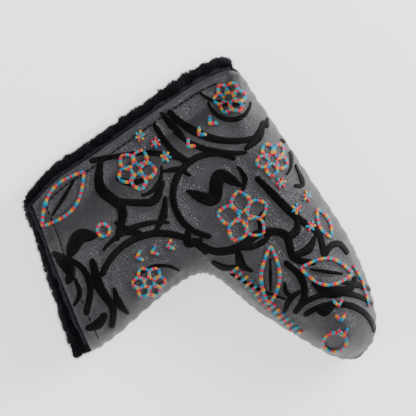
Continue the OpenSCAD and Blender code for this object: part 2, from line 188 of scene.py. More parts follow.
def layer_mesh(name, outer, inner, back):
    """A closed solid between two grids of the same shape."""
    rows, cols = outer.shape[0] - 1, outer.shape[1] - 1
    w = cols + 1
    n = (rows + 1) * w
    i, j = np.meshgrid(np.arange(rows), np.arange(cols), indexing="ij")
    a = (i * w + j).ravel()
    top = np.stack([a, a + w, a + w + 1, a + 1], -1)
    bottom = np.stack([a, a + 1, a + w + 1, a + w], -1) + n
    k = np.arange(rows)
    m = np.arange(cols)
    heel = np.stack([k * w, k * w + n, (k + 1) * w + n, (k + 1) * w], -1)
    far = np.stack([(k + 1) * w + cols, (k + 1) * w + cols + n, k * w + cols + n, k * w + cols], -1)
    toe = np.stack([m + 1, m + 1 + n, m + n, m], -1)
    last = rows * w
    mouth = np.stack([last + m, last + m + n, last + m + 1 + n, last + m + 1], -1)
    faces = np.concatenate([top, bottom, heel, far, toe, mouth])
    if back:
        faces = faces[:, ::-1]
    return make(name, to_frame(np.concatenate([outer.reshape(-1, 3), inner.reshape(-1, 3)])), faces)


def smooth_noise(x, y, size, seed):
    """Soft value noise from -1 to 1 over mm coordinates, with features about size mm wide."""
    table = np.random.default_rng(seed).uniform(-1, 1, (64, 64))
    gx, gy = x / size, y / size
    ix, iy = np.floor(gx).astype(int), np.floor(gy).astype(int)
    fx, fy = ramp(0, 1, gx - ix), ramp(0, 1, gy - iy)

    def at(a, b):
        return table[a % 64, b % 64]

    return mix(mix(at(ix, iy), at(ix + 1, iy), fx), mix(at(ix, iy + 1), at(ix + 1, iy + 1), fx), fy)


# ---- Embroidery layout, in mm from the heel corner: flowers, petals, rings, chevrons, stars, waves ----


def arc(centre, radius, start, end):
    n = max(4, int(abs(end - start) * math.pi / 180 * radius / 2.5))
    return [(centre[0] + radius * math.cos(math.radians(a)), centre[1] + radius * math.sin(math.radians(a)))
            for a in np.linspace(start, end, n + 1)]


def petal_side(base, tip, width, side):
    base, tip = np.array(base, float), np.array(tip, float)
    out = np.array([tip[1] - base[1], base[0] - tip[0]]) / np.linalg.norm(tip - base)
    bulge = out * side * width / 2
    return [tuple(mix(base, tip, f) + bulge * math.sin(math.pi * f)) for f in np.linspace(0, 1, 11)]


def smooth_path(points, step=0.5, curved=True):
    """A path resampled every step mm, through its points as a curve or as straight lines."""
    p = np.array(points, float)
    if len(p) < 3 or not curved:
        fine = p
    else:
        q = np.concatenate([[2 * p[0] - p[1]], p, [2 * p[-1] - p[-2]]])
        if np.allclose(p[0], p[-1]):
            q[0], q[-1] = p[-2], p[1]
        f = np.linspace(0, 1, 12, endpoint=False)[:, None]
        pieces = [spline(q[i], q[i + 1], q[i + 2], q[i + 3], f) for i in range(len(p) - 1)]
        fine = np.concatenate(pieces + [p[-1:]])
    d = np.concatenate([[0], np.cumsum(np.linalg.norm(np.diff(fine, axis=0), axis=1))])
    n = max(2, int(round(d[-1] / step)))
    s = np.linspace(0, d[-1], n + 1)
    return np.stack([np.interp(s, d, fine[:, 0]), np.interp(s, d, fine[:, 1])], -1)


# Rows of chevrons: (first point, step to the next, direction of the points, chevrons)
CHEVRONS = [((-19, 28), (-2, 7.5), 105, 3), ((-128, 19), (-7, 2.5), 160, 3), ((-60, 77), (1.5, 8), 80, 3)]
CHEVRON_R = 4.0
CHEVRON_TURN = 140
RINGS = [((-144, 29.5), 5.5), ((-37, 100), 3)]
# Flowers: (centre, petal length, petal width, petals, turn)
FLOWERS = [
    ((-13, 13), 8, 5, 6, 10),
    ((-71, 94), 8.5, 5.6, 6, 0),
    ((-20, 71), 10, 7, 5, 20),
    ((-66, 37), 13, 9, 5, 54),
    ((-49, 10.5), 8.5, 5.5, 5, 0),
]
# Petals: (base, tip, width)
PETALS = [
    ((-8, 94), (-21, 126), 14),
    ((-85, 33), (-111, 48), 9),
    ((-82, 4), (-98, 5), 6),
    ((-102, 26), (-119, 5), 13),
]
FLOWER_EYE = 1.8


def flower_petals():
    petals = []
    for (x, y), length, width, count, turn in FLOWERS:
        for k in range(count):
            a = math.radians(turn + 360 * k / count)
            d = np.array([math.cos(a), math.sin(a)])
            petals.append(((x, y) + FLOWER_EYE * d, (x, y) + length * d, width))
    return petals


STARS = [(-7, 61), (-14, 56), (-22, 55), (-61, 13), (-76, 13), (-74, 5), (-87, 11)]
LADDER_START, LADDER_END, LADDER_BARS = np.array([-87.0, 54.0]), np.array([-132.0, 43.0]), 15
STAR_RAY = 2.8
LINE_W = 1.75


def colour_lines():
    """Every coloured line: (points, width, curved)."""
    lines = []
    for first, step, way, count in CHEVRONS:
        for k in range(count):
            point = (first[0] + k * step[0], first[1] + k * step[1])
            turns = [way + side * CHEVRON_TURN for side in (1, -1)]
            arms = [arc(point, CHEVRON_R, a, a)[0] for a in turns]
            lines.append(([arms[0], point, arms[1]], LINE_W, False))
    lines += [(arc(c, r, 0, 360), LINE_W, True) for c, r in RINGS]
    for base, tip, width in PETALS + flower_petals():
        lines += [(petal_side(base, tip, width, side), LINE_W, True) for side in (-1, 1)]
    for k, star in enumerate(STARS):
        for a in (20, 80, 140):
            turn = math.radians(a + 17 * k)
            ray = STAR_RAY * np.array([math.cos(turn), math.sin(turn)])
            lines.append(([tuple(star - ray), tuple(star + ray)], 1.4, False))
    along = (LADDER_END - LADDER_START) / np.linalg.norm(LADDER_END - LADDER_START)
    across = np.array([-along[1], along[0]])
    for f in np.linspace(0, 1, LADDER_BARS):
        p = mix(LADDER_START, LADDER_END, f)
        lines.append(([tuple(p + across * 2.6), tuple(p - across * 2.6)], 1.7, False))
    lines.append(([(-116, 2.5), (-124, 2.5), (-131, 4), (-138, 6)], 1.3, True))
    return lines


COLOUR = colour_lines()
# Black satin: (points, widths, curved); the widths are spread evenly along the path
WAVE = [1.2, 5, 6.5, 7, 7, 6.5, 5, 1.2]
BLACK = [
    (arc((4, 2), 41, 100, 170), [3, 4.2, 3.2, 3], True),
    (arc((4, 2), 47, 112, 158), [1.2, 3, 3.4, 1.6], True),
    (arc((4, 2), 23.5, 108, 165), [1, 2.2, 1], True),
    (arc((-13, 13), 10.5, 70, 230), [1, 2.4, 2.4, 1], True),
    (arc((-50, 44), 20.5, -60, 145), [2.6, 3.6, 3.4, 3], True),
    ([(-53, 30), (-43, 37), (-51, 46), (-41, 55)], WAVE, True),
    (arc((-79, 92), 30.5, -80, 42), [2.6, 3.6, 3.6, 3], True),
    (arc((-79, 92), 36, -38, 22), [1, 2.8, 3.2, 1.2], True),
    (arc((-79, 92), 14.5, -70, 40), [1, 2, 1], True),
    (arc((-146, 31), 22.5, 252, 374), [2.4, 3.2, 3], True),
    (arc((-146, 31), 28, 284, 370), [1.4, 3, 3, 2.4], True),
    ([(-9, 100), (-14, 109), (-19, 119)], [1, 2, 1], True),
    ([(-90, 36), (-97, 40), (-105, 44.5)], [0.9, 1.8, 0.9], True),
    ([(-105, 22), (-110, 16), (-116, 9)], [0.9, 2, 0.9], True),
    ([(-40, 122), (-34, 112), (-38, 104)], WAVE, True),
    ([(-52, 22), (-64, 19), (-79, 15), (-92, 9.5), (-104, 13)], [3, 4.4, 3.4, 2.8], True),
    ([(-58, 1.5), (-68, 3.5), (-66, 8)], [1.2, 2.6, 1.4], True),
    ([(-6, 83), (-19, 91), (-33, 87), (-45, 97)], [2.2, 5.6, 5, 2.6], True),
    ([(-5, 89), (-9, 78), (-16, 62), (-27, 47)], [3, 2.4, 2.6, 3.4], True),
    ([(-31, 62), (-37, 71), (-33, 80), (-28, 87)], [2.4, 4.6, 3.6, 2.6], True),
    ([(-38, 65), (-46, 71), (-51, 79)], [1.4, 4.2, 1.6], True),
    ([(-26, 70), (-24, 77), (-19, 82)], [1.4, 3.6, 1.6], True),
    ([(-34, 128), (-46, 119), (-58, 120), (-69, 129)], [3.4, 3, 3.4, 3.2], True),
    ([(-46, 112), (-60, 116), (-73, 116), (-82, 122)], [3, 5.4, 3.6, 3], True),
    ([(-50, 124), (-58, 126), (-62, 132)], [1.4, 2.8, 1.4], True),
    ([(-63, 65), (-74, 58), (-78, 46), (-77, 34), (-84, 24), (-96, 26), (-104, 18)],
     [3, 4, 4.6, 4, 4.2, 3.8, 3], True),
    ([(-79, 48), (-86, 50), (-92, 47)], [3.4, 4.6, 1.2], True),
    ([(-77, 33), (-71, 30), (-68, 25)], [3, 4, 1.2], True),
    ([(-86, 24), (-85, 18), (-80, 15)], [3, 4.4, 1.4], True),
    ([(-95, 26), (-96, 18), (-92, 11)], [3.2, 4.4, 1.4], True),
    ([(-95, 31), (-106, 28), (-115, 31), (-121, 40)], [3, 3.6, 3.6, 3], True),
    ([(-110, 24), (-119, 20), (-124, 10), (-121, 4)], [3, 7, 4.6, 2.6], True),
    ([(-104, 14), (-101, 8), (-103, 3), (-110, 1.5)], [3, 3.2, 2.4], True),
    ([(-112, 31), (-113, 38), (-118, 44)], [2, 3.2, 2], True),
    ([(-88, 57), (-100, 50), (-112, 40)], [1, 1.8, 1], True),
    ([(-35, 5), (-31, 1.5)], [3, 1.4], False),
    ([(-38, 20), (-36, 11), (-31, 4)], [2, 5, 2.4], True),
    ([(-5, 52), (-20, 51), (-31, 46)], [2.4, 3.4, 3.6], True),
    ([(-2, 46), (-10, 44.5), (-18, 42)], [1.2, 4.5, 1.2], True),
    ([(-27, 60), (-30, 53), (-36, 49)], [1.2, 3.4, 1.2], True),
    ([(-48, 84), (-43, 90), (-36, 93)], [1.4, 5, 1.4], True),
    ([(-57, 63), (-64, 67), (-66, 60)], [2, 5, 2], True),
    ([(-37, 127), (-46, 124.5), (-51, 129)], [3, 6, 3], True),
    ([(-73, 120), (-76, 126), (-75, 133)], [3, 5.5, 3], True),
    ([(-64, 110), (-72, 112), (-80, 111)], [1.4, 4.6, 1.4], True),
    ([(-104, 36), (-109, 38), (-113, 36)], [1.2, 2.8, 1.2], True),
    ([(-122, 30), (-127, 27), (-127, 21)], [1.4, 4.5, 1.4], True),
    ([(-55, 31), (-50, 27), (-43, 27)], [1.2, 3.2, 1.2], True),
    ([(-78, 62), (-84, 58), (-86, 52)], [2, 3.8, 1.4], True),
    (arc((-66, 37), 15.5, 130, 215), [1, 3, 3, 1], True),
    (arc((-20, 71), 12.5, 160, 250), [1, 2.6, 1], True),
    (arc((-49, 10.5), 10.5, 190, 300), [1, 2.4, 1], True),
    (arc((-146, 31), 33, 290, 330), [1, 3.2, 1], True),
]


def widths_along(widths, n):
    return np.interp(np.linspace(0, 1, n), np.linspace(0, 1, len(widths)), widths)


def curve_tree():
    """A search tree over every embroidered line, and its half widths, for the puffs between them."""
    points, half = [], []
    for pts, w, curved in COLOUR:
        p = smooth_path(pts, 1.0, curved)
        points.append(p)
        half.append(np.full(len(p), w / 2))
    for pts, widths, curved in BLACK:
        p = smooth_path(pts, 1.0, curved)
        points.append(p)
        half.append(widths_along(widths, len(p)) / 2)
    points, half = np.concatenate(points), np.concatenate(half)
    tree = KDTree(len(points))
    for k, p in enumerate(points):
        tree.insert((p[0], p[1], 0), k)
    tree.balance()
    return tree, half


# ---- Shell panels ----

FRONT_ROWS, FRONT_COLS = 250, 130
BACK_ROWS, BACK_COLS = 170, 90
LAYER_GAP = 0.02                        # between one soft layer and the next
STITCH_INSET = 5.0
STITCH_PITCH = 3.2
FAR = 99.0                              # stands for no edge on that side
PUFF_REACH, PUFF_BASE = 2.6, 0.35       # how fast the shell rises beside embroidery, and how deep it is held
PUFF_CAP = 9.0                          # distance from embroidery beyond which the puff grows no more
PUCKER_PITCH, PUCKER_REACH = 5.2, 3.2   # spacing of the puckers along a seam, and how far they run in
HEEL_SIDE_STEP, TOP_SIDE_STEP = 15.0, 9.0   # length of seam from one rib to the next
MOUTH_STEP = 12.0                       # the same between the last ribs
MOUTH_STITCH = 6.0
GROOVE_WIDTH, ROLL_WIDTH = 0.75, 1.6    # the topstitch's groove, and the roll between it and the edge


def ridge(d, middle, width):
    return np.exp(-(((d - middle) / width) ** 2))


def seam_distance(u, s, start, end):
    """Distance to the panel's nearest seam, and distance along that seam."""
    edge = np.minimum(np.where(opened(u) > 0.5, FAR, s - start), end - s)
    return edge, np.where(s - start < end - s, u * HEEL_SIDE_STEP, u * TOP_SIDE_STEP)


def puckers(length, edge, phase, height):
    return np.sin(length * 2 * math.pi / PUCKER_PITCH + phase) * np.exp(-edge / PUCKER_REACH) * height


def puffed_front():
    """The front panel's outer face: padded between the embroidery, puckered at its seams and grooved."""
    u, s = rib_grid(False, 0.0, FRONT_ROWS, FRONT_COLS)
    p = panel_point(False, 0.0, u, s)
    n = grid_normals(p)
    start, end = span(False, 0.0, u)
    tree, half = curve_tree()
    near = np.empty(u.shape)
    for i in range(u.shape[0]):
        for j in range(u.shape[1]):
            best = PUFF_CAP
            for _, k, d in tree.find_n((p[i, j, 0], p[i, j, 1], 0), 3):
                best = min(best, d - half[k])
            near[i, j] = max(0.0, best)
    puff = 1.0 * (1 - np.exp(-near / PUFF_REACH)) - PUFF_BASE
    edge, length = seam_distance(u, s, start, end)
    pucker = puckers(length, edge, 2.2 * smooth_noise(length, edge, 9, 3), 0.32)
    x, y = p[..., 0], p[..., 1]
    soft = 0.45 * smooth_noise(x, y, 17, 5) + 0.22 * smooth_noise(x, y, 6.5, 8)
    lip = opened(u)
    groove = -0.55 * ridge(s, STITCH_INSET, GROOVE_WIDTH) * lip
    groove += 0.35 * ridge(s, STITCH_INSET * 0.45, ROLL_WIDTH) * lip
    to_mouth = (LAST_RIB - u) * MOUTH_STEP
    groove += -0.55 * ridge(to_mouth, MOUTH_STITCH, GROOVE_WIDTH) + 0.3 * ridge(to_mouth, 2.6, ROLL_WIDTH)
    fade = np.minimum(1, edge / 2.5)
    d = (puff + soft) * ramp(0, 5, edge) * ramp(0, 3, to_mouth) * mix(1, ramp(0, 6, s), lip) + pucker + groove
    tuck = np.exp(-edge / 1.6) * 0.5
    return p + n * (d - tuck * fade)[..., None], n


def back_face():
    """The back panel's outer face, flat where it lies."""
    u, s = rib_grid(True, 0.0, BACK_ROWS, BACK_COLS)
    p = panel_point(True, 0.0, u, s)
    n = -grid_normals(p)
    start, end = span(True, 0.0, u)
    edge, length = seam_distance(u, s, start, end)
    pucker = puckers(length, edge, 1.0, 0.3)
    soft = 0.3 * smooth_noise(p[..., 0], p[..., 1], 15, 11)
    lift = ramp(0.2, 4, p[..., 2])
    groove = -0.5 * ridge(s, STITCH_INSET, GROOVE_WIDTH) * opened(u)
    out = p + n * ((pucker + soft * ramp(0, 4, edge) + groove) * lift)[..., None]
    out[..., 2] = np.maximum(out[..., 2], 0.0)
    return out


# ---- Materials ----


def material(name, color, roughness, metallic=0.0, **sockets):
    m = bpy.data.materials.new(name)
    m.use_nodes = True
    bsdf = m.node_tree.nodes["Principled BSDF"]
    bsdf.inputs["Base Color"].default_value = (*color, 1)
    bsdf.inputs["Roughness"].default_value = roughness
    bsdf.inputs["Metallic"].default_value = metallic
    for key, value in sockets.items():
        bsdf.inputs[key.replace("_", " ")].default_value = value
    return m


def node(m, kind, **values):
    n = m.node_tree.nodes.new(kind)
    for key, value in values.items():
        if hasattr(n, key):
            setattr(n, key, value)
        else:
            n.inputs[key.replace("_", " ")].default_value = value
    return n


def link(m, a, out, b, into):
    m.node_tree.links.new(a.outputs[out], b.inputs[into])


def add_bump(m, height, out, strength, distance, under=None):
    bump = node(m, "ShaderNodeBump", Strength=strength, Distance=distance)
    link(m, height, out, bump, "Height")
    if under is not None:
        link(m, under, "Normal", bump, "Normal")
    link(m, bump, "Normal", m.node_tree.nodes["Principled BSDF"], "Normal")
    return bump


def ramp_node(m, stops, mode="LINEAR"):
    r = node(m, "ShaderNodeValToRGB")
    r.color_ramp.interpolation = mode
    while len(r.color_ramp.elements) < len(stops):
        r.color_ramp.elements.new(0.5)
    for element, (position, color) in zip(r.color_ramp.elements, stops):
        element.position = position
        element.color = (*color, 1)
    return r


def leather():
    m = material("leather_look", (0.027, 0.0262, 0.031), 0.42, Specular_IOR_Level=0.45)
    bsdf = m.node_tree.nodes["Principled BSDF"]
    place = node(m, "ShaderNodeTexCoord")
    grain = node(m, "ShaderNodeTexVoronoi", Scale=900.0, feature="DISTANCE_TO_EDGE")
    link(m, place, "Object", grain, "Vector")
    cloud = node(m, "ShaderNodeTexNoise", Scale=55.0, Detail=4.0)
    link(m, place, "Object", cloud, "Vector")
    fine = node(m, "ShaderNodeTexNoise", Scale=1500.0, Detail=3.0)
    link(m, place, "Object", fine, "Vector")
    tint = ramp_node(m, [(0.3, (0.0245, 0.0238, 0.0285)), (0.7, (0.035, 0.034, 0.0405))])
    link(m, cloud, "Fac", tint, "Fac")
    link(m, tint, "Color", bsdf, "Base Color")
    rough = node(m, "ShaderNodeMapRange", **{"From_Min": 0.3, "From_Max": 0.7, "To_Min": 0.34, "To_Max": 0.5})
    link(m, cloud, "Fac", rough, "Value")
    link(m, rough, "Result", bsdf, "Roughness")
    creases = node(m, "ShaderNodeMapRange", From_Min=0.0, From_Max=0.25, To_Min=0.0, To_Max=1.0)
    link(m, grain, "Distance", creases, "Value")
    wrinkles = node(m, "ShaderNodeTexNoise", Scale=210.0, Detail=2.0, Distortion=0.4)
    link(m, place, "Object", wrinkles, "Vector")
    low = add_bump(m, creases, "Result", 0.5, 0.0004)
    mid = add_bump(m, wrinkles, "Fac", 0.22, 0.0006, low)
    add_bump(m, fine, "Fac", 0.35, 0.0002, mid)
    return m


THREAD_COLOURS = [
    (0.004, 0.23, 0.27),
    (0.44, 0.008, 0.05),
    (0.45, 0.2, 0.015),
    (0.004, 0.23, 0.27),
    (0.006, 0.11, 0.26),
    (0.45, 0.03, 0.025),
    (0.45, 0.2, 0.015),
    (0.004, 0.23, 0.27),
    (0.44, 0.008, 0.05),
]


def satin(name, colour, shine, period=None):
    """Satin thread laid across each line; with a period, its colour changes in bands along the line."""
    m = material(name, colour, 0.5, Specular_IOR_Level=shine)
    bsdf = m.node_tree.nodes["Principled BSDF"]
    along = node(m, "ShaderNodeAttribute", attribute_name="along")
    if period:
        turn = node(m, "ShaderNodeMath", operation="FRACT")
        scale = node(m, "ShaderNodeMath", operation="MULTIPLY")
        scale.inputs[1].default_value = 1.0 / (period * len(THREAD_COLOURS))
        link(m, along, "Fac", scale, 0)
        link(m, scale, 0, turn, 0)
        bands = ramp_node(m, [(k / len(THREAD_COLOURS), c) for k, c in enumerate(THREAD_COLOURS)], "CONSTANT")
        link(m, turn, 0, bands, "Fac")
        link(m, bands, "Color", bsdf, "Base Color")
    threads = node(m, "ShaderNodeMath", operation="MULTIPLY")
    threads.inputs[1].default_value = 2 * math.pi / 0.42
    link(m, along, "Fac", threads, 0)
    wave = node(m, "ShaderNodeMath", operation="SINE")
    link(m, threads, 0, wave, 0)
    place = node(m, "ShaderNodeTexCoord")
    fuzz = node(m, "ShaderNodeTexNoise", Scale=2600.0, Detail=2.0)
    link(m, place, "Object", fuzz, "Vector")
    low = add_bump(m, wave, 0, 0.35, 0.0002)
    add_bump(m, fuzz, "Fac", 0.35, 0.0002, low)
    return m


def plush():
    m = material("plush", (0.005, 0.0052, 0.0068), 0.9, Sheen_Weight=0.22, Sheen_Roughness=0.5,
                 Specular_IOR_Level=0.15)
    m.node_tree.nodes["Principled BSDF"].inputs["Sheen Tint"].default_value = (0.42, 0.45, 0.53, 1)
    bsdf = m.node_tree.nodes["Principled BSDF"]
    place = node(m, "ShaderNodeTexCoord")
    clumps = node(m, "ShaderNodeTexNoise", Scale=420.0, Detail=5.0, Roughness=0.7)
    link(m, place, "Object", clumps, "Vector")
    tint = ramp_node(m, [(0.35, (0.0025, 0.0026, 0.0036)), (0.68, (0.012, 0.0123, 0.016))])
    link(m, clumps, "Fac", tint, "Fac")
    link(m, tint, "Color", bsdf, "Base Color")
    add_bump(m, clumps, "Fac", 0.9, 0.0012)
    return m


def plain_fabric(name, colour, scale, roughness=0.8):
    m = material(name, colour, roughness)
    place = node(m, "ShaderNodeTexCoord")
    weave = node(m, "ShaderNodeTexNoise", Scale=scale, Detail=3.0)
    link(m, place, "Object", weave, "Vector")
    tint = ramp_node(m, [(0.3, tuple(0.75 * c for c in colour)), (0.7, tuple(1.2 * c for c in colour))])
    link(m, weave, "Fac", tint, "Fac")
    link(m, tint, "Color", m.node_tree.nodes["Principled BSDF"], "Base Color")
    add_bump(m, weave, "Fac", 0.6, 0.0005)
    return m


LEATHER, PLUSH = leather(), plush()
BLACK_SATIN = satin("black_satin", (0.0016, 0.0016, 0.002), 0.07)
COLOUR_SATIN = satin("colour_satin", THREAD_COLOURS[0], 0.25, 1.45)
FOAM = plain_fabric("foam", (0.02, 0.02, 0.022), 900.0)
TAPE = plain_fabric("closure_tape", (0.008, 0.008, 0.009), 1800.0)


def finish_piece(ob, mat, nodes, front):
    """Material of a finished piece; hides the CAD parts it stands for, then bakes it in place or hangs it on
    the cover's body.
    """
    ob.data.materials.append(mat)
    if nodes:
        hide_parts(*nodes)
    if front:
        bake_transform(ob)
    else:
        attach(ob, "cover")
    return ob


# ---- Build the panels ----

outer, outer_n = puffed_front()
u0, s0 = rib_grid(False, 0.0, FRONT_ROWS, FRONT_COLS)


def inner_grid(back, e, rows, columns):
    u, s = rib_grid(back, e, rows, columns)
    return panel_point(back, e, u, s)


shell = layer_mesh("shell_front", outer, inner_grid(False, SHELL_T, FRONT_ROWS, FRONT_COLS), False)
shell_tree = BVHTree.FromPolygons(
    [v.co.copy() for v in shell.data.vertices], [tuple(f.vertices) for f in shell.data.polygons])
finish_piece(shell, LEATHER, ["front_shell", "front_shell_leaf"], True)
shell_back = layer_mesh("shell_back", back_face(), inner_grid(True, SHELL_T, 170, 90), True)
finish_piece(shell_back, LEATHER, ["back_shell"], False)

FOAM_ROWS, FOAM_COLS = 90, 40
for name, back, nodes in (
        ("foam_front", False, ["front_foam", "front_foam_leaf"]),
        ("foam_back", True, ["back_foam"])):
    top = inner_grid(back, SHELL_T + LAYER_GAP, FOAM_ROWS, FOAM_COLS)
    foam = layer_mesh(name, top, inner_grid(back, SHELL_T + FOAM_T, FOAM_ROWS, FOAM_COLS), back)
    finish_piece(foam, FOAM, nodes, not back)


# ---- Embroidery ----


def drop(x, y):
    """The shell's outer face under (x, y) in mm: its point in metres and its normal; None off the panel."""
    p = to_frame(np.array([x, y, 90.0]))
    hit, normal, _, _ = shell_tree.ray_cast(Vector(p), Vector((0, 0, -1)))
    if hit is None or normal.z < 0.12:
        return None
    return np.array(hit), np.array(normal)


def ribbon(path, widths, height, profile, offset, across):
    """Points, faces and along values of one raised satin line over a path in mm."""
    t = np.gradient(path, axis=0)
    t /= np.maximum(1e-9, np.linalg.norm(t, axis=1))[:, None]
    side = np.stack([-t[:, 1], t[:, 0]], -1)
    angles = np.linspace(0, math.pi, across)
    runs, run = [], []
    for k in range(len(path)):
        w = widths[k] / 2
        ends = min(k, len(path) - 1 - k) * 0.5
        closed = np.allclose(path[0], path[-1])
        round_off = 1.0 if closed else math.sqrt(min(1.0, (ends + 0.15) / max(0.3, w)))
        w *= round_off
        hits = [drop(*(path[k] - side[k] * w * math.cos(a))) for a in angles]
        if any(h is None for h in hits):
            runs.append(run)
            run = []
            continue
        lift = [height * round_off * math.sin(a) ** profile for a in angles]
        top = [h[0] + h[1] * (v - 0.05) * MM for h, v in zip(hits, lift)]
        mid = hits[len(hits) // 2]
        run.append((top + [mid[0] - mid[1] * 0.45 * MM], offset + k * 0.5))
    runs.append(run)
    m = across + 1
    points, faces, along = [], [], []
    for run in runs:
        if len(run) < 3:
            continue
        base = len(points)
        for ring_points, value in run:
            points += ring_points
            along += [value] * m
        for k in range(len(run) - 1):
            for j in range(m):
                a, b = base + k * m + j, base + k * m + (j + 1) % m
                faces.append((a, b, b + m, a + m))
        faces.append(tuple(base + j for j in reversed(range(m))))
        faces.append(tuple(base + (len(run) - 1) * m + j for j in range(m)))
    return points, faces, along


def embroider(name, lines, height, profile, across):
    """One object of every line: (points, widths, curved). A lower profile is flatter, with steeper edges."""
    points, faces, along = [], [], []
    for k, (pts, widths, curved) in enumerate(lines):
        path = smooth_path(pts, 0.5, curved)
        widths = widths_along(widths if isinstance(widths, list) else [widths], len(path))
        jitter = 1 + 0.05 * smooth_noise(np.arange(len(path)) * 0.5, np.full(len(path), 3.0 * k), 1.2, 21)
        p, f, a = ribbon(path, widths * jitter, height + 0.06 * (k % 3), profile, 3.7 * k, across)
        base = len(points)
        points += p
        faces += [tuple(i + base for i in face) for face in f]
        along += a
    return make(name, np.array(points), faces, attributes={"along": along})


black = embroider("embroidery_black", BLACK, 0.55, 0.28, 9)
finish_piece(black, BLACK_SATIN,
             ["front_outline_embroidery", "leaf_outline_embroidery"], True)
colour = embroider("embroidery_colour", COLOUR, 0.95, 0.5, 7)
finish_piece(colour, COLOUR_SATIN,
             ["front_colour_embroidery", "leaf_colour_embroidery"], True)


# ---- Stitches ----


def stitch_row(name, line, normals, pitch=STITCH_PITCH, thread=0.75):
    """Single stitches along a line of points in mm, each an arched thread that dives in at both ends."""
    d = np.concatenate([[0], np.cumsum(np.linalg.norm(np.diff(line, axis=0), axis=1))])
    count = int(d[-1] / pitch)
    points, faces = [], []
    rings, sides = 7, 6
    for k in range(count):
        s = np.linspace((k + 0.1) * pitch, (k + 0.9) * pitch, rings)
        p = np.stack([np.interp(s, d, line[:, c]) for c in range(3)], -1)
        n = np.stack([np.interp(s, d, normals[:, c]) for c in range(3)], -1)
        n /= np.linalg.norm(n, axis=1)[:, None]
        t = (p[-1] - p[0]) / np.linalg.norm(p[-1] - p[0])
        b = np.cross(n, t)
        base = len(points)
        for i in range(rings):
            f = i / (rings - 1)
            c = p[i] + n[i] * (0.32 * math.sin(math.pi * f) - 0.2)
            r = thread / 2 * (0.55 + 0.45 * math.sin(math.pi * f))
            for j in range(sides):
                a = 2 * math.pi * j / sides
                points.append(to_frame(c + (b[i] * math.cos(a) + n[i] * math.sin(a)) * r))
        for i in range(rings - 1):
            for j in range(sides):
                a, q = base + i * sides + j, base + i * sides + (j + 1) % sides
                faces.append((a, q, q + sides, a + sides))
        faces.append(tuple(base + j for j in reversed(range(sides))))
        faces.append(tuple(base + (rings - 1) * sides + j for j in range(sides)))
    ob = make(name, np.array(points), faces, attributes={"along": np.zeros(len(points))})
    return ob


def grid_line(points, normals, rows, column_at):
    """A line across a grid of points at a fractional column for each row."""
    line, out = [], []
    for i in rows:
        c = column_at(i)
        j = int(min(points.shape[1] - 2, max(0, math.floor(c))))
        f = c - j
        line.append(mix(points[i, j], points[i, j + 1], f))
        out.append(mix(normals[i, j], normals[i, j + 1], f))
    return np.array(line), np.array(out)


heel_rows = [i for i in range(FRONT_ROWS + 1) if LEAF_RIB + 0.15 < u0[i, 0] < LAST_RIB - 0.5]
line, n = grid_line(outer, outer_n, heel_rows,
                    lambda i: np.interp(STITCH_INSET, s0[i], np.arange(FRONT_COLS + 1)))
finish_piece(stitch_row("topstitch_heel", line, n), BLACK_SATIN, ["heel_topstitch"], True)
mouth_row = int(np.argmin(abs(u0[:, 0] - (LAST_RIB - 0.5))))
cols = [j for j in range(FRONT_COLS + 1) if 5 < s0[mouth_row, j] < 78]
finish_piece(stitch_row("topstitch_mouth", outer[mouth_row, cols], outer_n[mouth_row, cols]), BLACK_SATIN,
             ["mouth_topstitch"], True)
back_outer = back_face()
back_n = -grid_normals(back_outer)
ub, sb = rib_grid(True, 0.0, 170, 90)
rows = [i for i in range(171) if LEAF_RIB + 0.5 < ub[i, 0] < LAST_RIB - 0.6]
line, n = grid_line(back_outer, back_n, rows, lambda i: np.interp(STITCH_INSET, sb[i], np.arange(91)))
finish_piece(stitch_row("topstitch_back", line, n), BLACK_SATIN, ["back_topstitch"], False)

seam_u = np.concatenate([np.linspace(CORNER_RIB - 0.2, 0.02, 160), np.linspace(0.02, LAST_RIB - 0.1, 280)])
seam_side = np.array([0] * 160 + [1] * 280)
ends = np.where(seam_side[:, None] == 0, seam_end(seam_u, 0), seam_end(seam_u, 1))
others = np.where(seam_side[:, None] == 0, seam_end(seam_u, 1), seam_end(seam_u, 0))
inward = (others - ends) / np.maximum(0.6, np.linalg.norm(others - ends, axis=1))[:, None]
seam = np.concatenate([ends + 0.35 * inward, np.full((len(ends), 1), SEAM_HEIGHT)], 1)
seam_n = np.concatenate([-inward, np.zeros((len(ends), 1))], 1)
finish_piece(stitch_row("seam_thread", seam, seam_n, thread=0.6), BLACK_SATIN,
             ["side_seam_thread"], False)


# ---- Plush ----


def lining(name, back, nodes):
    rows, columns = 200, 100
    e0, e1 = SHELL_T + FOAM_T + LAYER_GAP, WALL_T
    a = inner_grid(back, e0, rows, columns)
    b = inner_grid(back, e1, rows, columns)
    n = grid_normals(b) * (1 if back else -1)
    x, y = b[..., 0], b[..., 1]
    pile = 0.35 * smooth_noise(x, y, 1.7, 31) + 0.25 * smooth_noise(x, y, 0.9, 32)
    b = b + n * (pile - 0.35)[..., None]
    ob = layer_mesh(name, a, b, back)
    finish_piece(ob, PLUSH, nodes, not back)


lining("lining_front", False, ["front_lining", "front_lining_leaf"])
lining("lining_back", True, ["back_lining"])


# Pile by piece: (tufts, length, width)
PILE = {
    "pile_heel_back": (26000, 3.4, 0.36),
    "pile_heel_front": (7000, 2.4, 0.42),
    "pile_mouth_back": (26000, 4.0, 0.38),
    "pile_mouth_corner": (5000, 3.6, 0.38),
    "pile_mouth_front": (7000, 2.8, 0.45),
}
TUFT_CORNERS = (0, 2.094, 4.189)        # angles of the corners of a tuft's foot
TUFT_FACES = ((0, 2, 1), (0, 1, 3), (1, 2, 3), (2, 0, 3))
TUFT_SPREAD = 0.35                      # how far the tufts lean about at random


